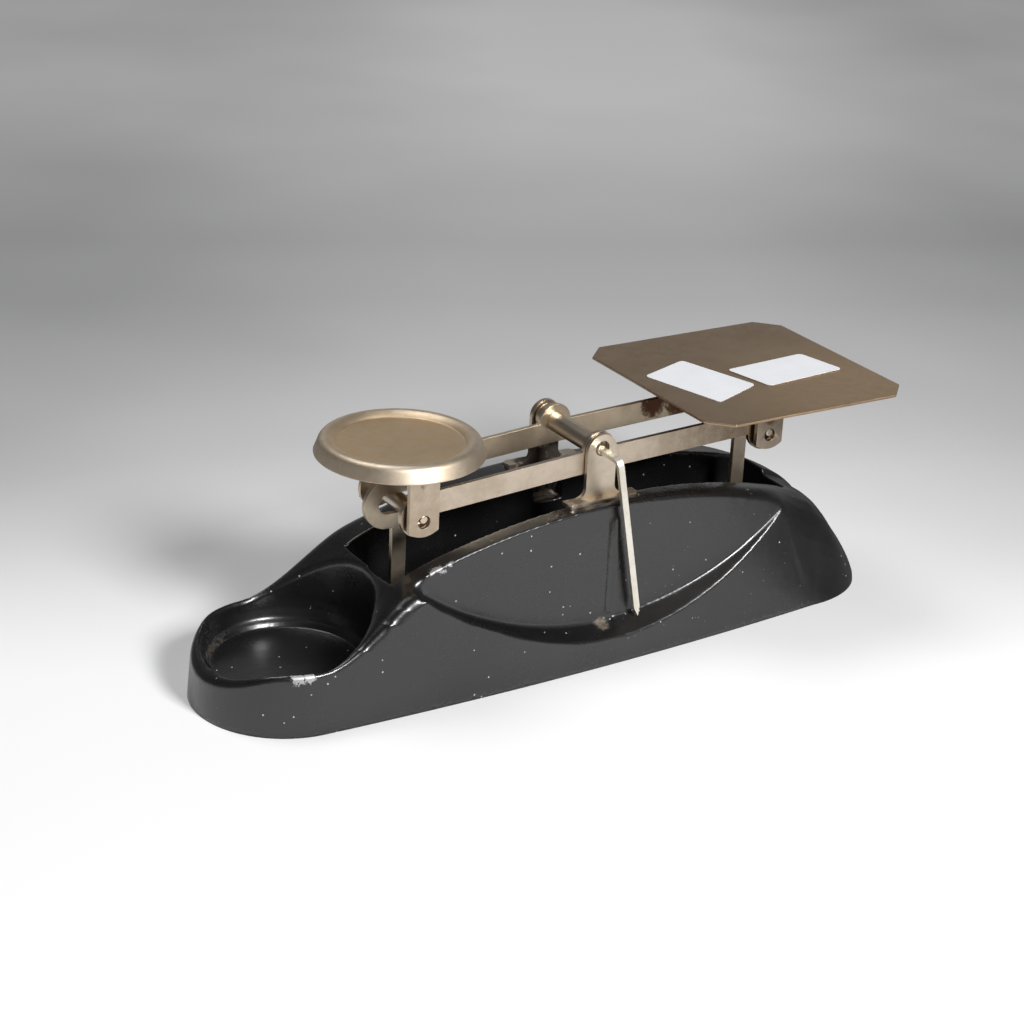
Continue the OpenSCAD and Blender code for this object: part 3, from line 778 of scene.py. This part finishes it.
def label(name, corners, layer):
    """A blank paper label with rounded corners on the letter plate."""
    corner_r, thick = 1.6, 0.12
    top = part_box("goods_plate")[1].z / MM + 0.02 + layer * thick
    bm = bmesh.new()
    face = face_of(bm, [(x, y, top) for x, y in corners])
    bmesh.ops.bevel(bm, geom=face.verts[:], offset=corner_r, offset_type="OFFSET", segments=6, profile=0.5,
                    affect="VERTICES", material=-1, clamp_overlap=True)
    made = bmesh.ops.extrude_face_region(bm, geom=bm.faces[:])
    moved = [g for g in made["geom"] if isinstance(g, bmesh.types.BMVert)]
    bmesh.ops.translate(bm, vec=(0, 0, thick), verts=moved)
    bmesh.ops.recalc_face_normals(bm, faces=bm.faces)
    finish_piece(to_object(scaled(bm), name), "right_carrier", "plate_metal", PAPER)


base_casting()
for name in ("fulcrum_bracket_front", "fulcrum_bracket_rear"):
    eased(name, "base", "nickel", BRACKET_METAL, 0.35, 3)
for name in ("bracket_screws", "stay_screw", "stay_spacers"):
    eased(name, "base", "steel", STEEL, 0.15)
eased("check_link", "link", "steel", STEEL, 0.25)
eased("beam_bar_front", "beam", "nickel", BAR_FRONT_METAL, 0.25)
eased("beam_bar_rear", "beam", "nickel", BAR_REAR_METAL, 0.25)
for name in ("fulcrum_rod", "end_rod_left", "end_rod_right"):
    eased(name, "beam", "nickel", ROD_METAL, 0.25)
eased("fulcrum_collar", "beam", "nickel", NICKEL, 0.4, 3)
eased("pointer", "beam", "nickel", POINTER_METAL, 0.2)
for side in ("left", "right"):
    carrier = side + "_carrier"
    eased(side + "_yoke", carrier, "nickel", EAR_METAL, 0.3, 3)
    eased(side + "_hanger", carrier, "nickel", STEM_METAL, 0.55, 3)
    eased(side + "_stem_rivet", carrier, "steel", STEEL, 0.2)
    eased(side + "_lower_pin", carrier, "steel", STEEL, 0.2)
eased("weights_pan", "left_carrier", "pan_metal", PAN_METAL, 0.35, 3)
eased("goods_plate", "right_carrier", "plate_metal", PLATE_METAL, 0.25)
label("paper_label_left", [(31.1, 9.0), (50.6, 16.2), (59.6, -12.4), (39.8, -20.6)], 0)
label("paper_label_right", [(59.0, 2.5), (90.8, 5.0), (94.7, -12.6), (63.0, -15.5)], 1)


# Camera

# Lens and place, in millimetres and metres, and the way it looks, from the fit to the photograph
LENS = 84.375
SENSOR_W = 36
CAMERA_PLACE = (-0.391098, -0.584414, 0.346095)
AZIMUTH, ELEVATION, ROLL = (math.radians(a) for a in (32.23, 23.54, 2.76))


def camera():
    ahead = Vector((math.sin(AZIMUTH) * math.cos(ELEVATION), math.cos(AZIMUTH) * math.cos(ELEVATION),
                    -math.sin(ELEVATION)))
    level = Vector((math.cos(AZIMUTH), -math.sin(AZIMUTH), 0))
    upright = level.cross(ahead)
    right = level * math.cos(ROLL) + upright * math.sin(ROLL)
    up = upright * math.cos(ROLL) - level * math.sin(ROLL)
    data = bpy.data.cameras.new("camera")
    data.lens = LENS
    data.sensor_width = SENSOR_W
    data.clip_end = 30
    made = bpy.data.objects.new("camera", data)
    made.matrix_world = Matrix.Translation(CAMERA_PLACE) @ Matrix((right, up, -ahead)).transposed().to_4x4()
    bpy.context.scene.collection.objects.link(made)
    bpy.context.scene.camera = made


# Floor, lamps and world

# Grey of the sweep at distances in metres along the camera's view, from the middle of the object
SWEEP_NEAR, SWEEP_FAR = -0.4, 1.0
SWEEP = [(-0.4, 0.96), (-0.03, 0.96), (0.058, 0.81), (0.151, 0.65), (0.252, 0.545),
         (0.332, 0.475), (0.423, 0.455), (0.53, 0.54), (0.706, 0.69), (0.95, 0.75)]
SWEEP_SKEW = 0.15
# Share of the sweep that is seen at its own colour, whatever the light on it
SWEEP_GLOW = 0.2


def floor():
    """A pale sweep: white in front, greyer behind and to the sides, as the studio light falls off."""
    s = Shader("pale_floor")
    away = (math.sin(AZIMUTH), math.cos(AZIMUTH))
    depth = s.axis(0) * away[0] + s.axis(1) * away[1]
    across = s.axis(0) * away[1] - s.axis(1) * away[0]
    span = s.ranged(depth - across * SWEEP_SKEW, SWEEP_NEAR, SWEEP_FAR)
    stops = [((d - SWEEP_NEAR) / (SWEEP_FAR - SWEEP_NEAR), (grey, grey, grey * 1.01)) for d, grey in SWEEP]
    ramp = s.node("ShaderNodeValToRGB", {"stops": stops}, {"Fac": span}).outputs[0]
    edge = s.node("ShaderNodeMath", {"operation": "ABSOLUTE"}, {0: across - 0.01}).outputs[0]
    # Painted shading of soft folds in the sweep
    fold_shading = (s.noise(200, 2, 0.5) - 0.5) * 0.3
    darker = s.step(Value(s, edge), 0.02, 0.26) * 0.26 + fold_shading
    darker = darker * s.step(depth, -0.04, 0.12)
    colour = s.colours(darker.most(0), ramp, (0, 0, 0))
    seen = s.node("ShaderNodeLightPath")
    shown = Value(s, seen.outputs["Is Camera Ray"]).most(Value(s, seen.outputs["Is Glossy Ray"]))
    lit = s.node("ShaderNodeBsdfDiffuse", {}, {"Color": colour})
    glow = s.node("ShaderNodeEmission", {}, {"Color": colour, "Strength": 1.0})
    both = s.node("ShaderNodeMixShader", {}, {
        0: shown * SWEEP_GLOW, 1: lit.outputs[0], 2: glow.outputs[0]})
    # Glossy rays see the floor black to the right and behind the camera: painted dark reflections in the
    # metal and the enamel.
    unlit = s.node("ShaderNodeEmission", {}, {"Color": (0, 0, 0), "Strength": 1.0})
    to_right = s.step(s.axis(0) + s.axis(1) * 0.5, 0.062, 0.085) * 0.8
    to_camera = s.step(depth * -1, 0.3, 0.4) * 0.9
    hidden = Value(s, seen.outputs["Is Glossy Ray"]) * to_right.most(to_camera)
    mixed = s.node("ShaderNodeMixShader", {}, {0: hidden, 1: both.outputs[0], 2: unlit.outputs[0]})
    s.feed(s.output.inputs["Surface"], mixed.outputs[0])
    bm = bmesh.new()
    bmesh.ops.create_grid(bm, x_segments=2, y_segments=2, size=8)
    bmesh.ops.translate(bm, vec=(0, 0, -0.0001), verts=bm.verts)
    made = to_object(bm, "floor")
    made.data.materials.append(s.owner)


LAMP_DISTANCE = 1.6
LAMP_AIM = Vector((0, 0, 0.03))


def lamp(name, direction, size, watts):
    """A square soft box that shines on the middle of the object from a direction."""
    data = bpy.data.lights.new(name, "AREA")
    data.size = size
    data.energy = watts
    made = bpy.data.objects.new(name, data)
    aim = Vector(direction).normalized()
    made.location = aim * LAMP_DISTANCE + LAMP_AIM
    made.rotation_euler = aim.to_track_quat("Z", "Y").to_euler()
    bpy.context.scene.collection.objects.link(made)


def surroundings():
    """A room that is mid grey behind the table, dark above it and in front, and pale where it is seen."""
    s = Shader("studio", bpy.data.worlds.new("studio"))
    bpy.context.scene.world = s.owner
    up = s.ranged(s.axis(2), 0.3, 0.62, 1, 0.3)
    ahead = s.ranged(s.dot((math.sin(AZIMUTH), math.cos(AZIMUTH), 0)), 0.5, 0.92, 0.09, 0.41)
    seen = Value(s, s.node("ShaderNodeLightPath").outputs["Is Camera Ray"])
    room = s.node("ShaderNodeBackground", {}, {"Color": (up * ahead).most(seen * 0.72)})
    s.feed(s.output.inputs["Surface"], room.outputs[0])
    floor()
    lamp("key", (0.1, -0.8, 0.58), size=0.42, watts=31)
    lamp("top", (-0.2, 0.3, 1.0), size=0.7, watts=8)


camera()
surroundings()
bpy.context.scene.view_settings.view_transform = "Standard"
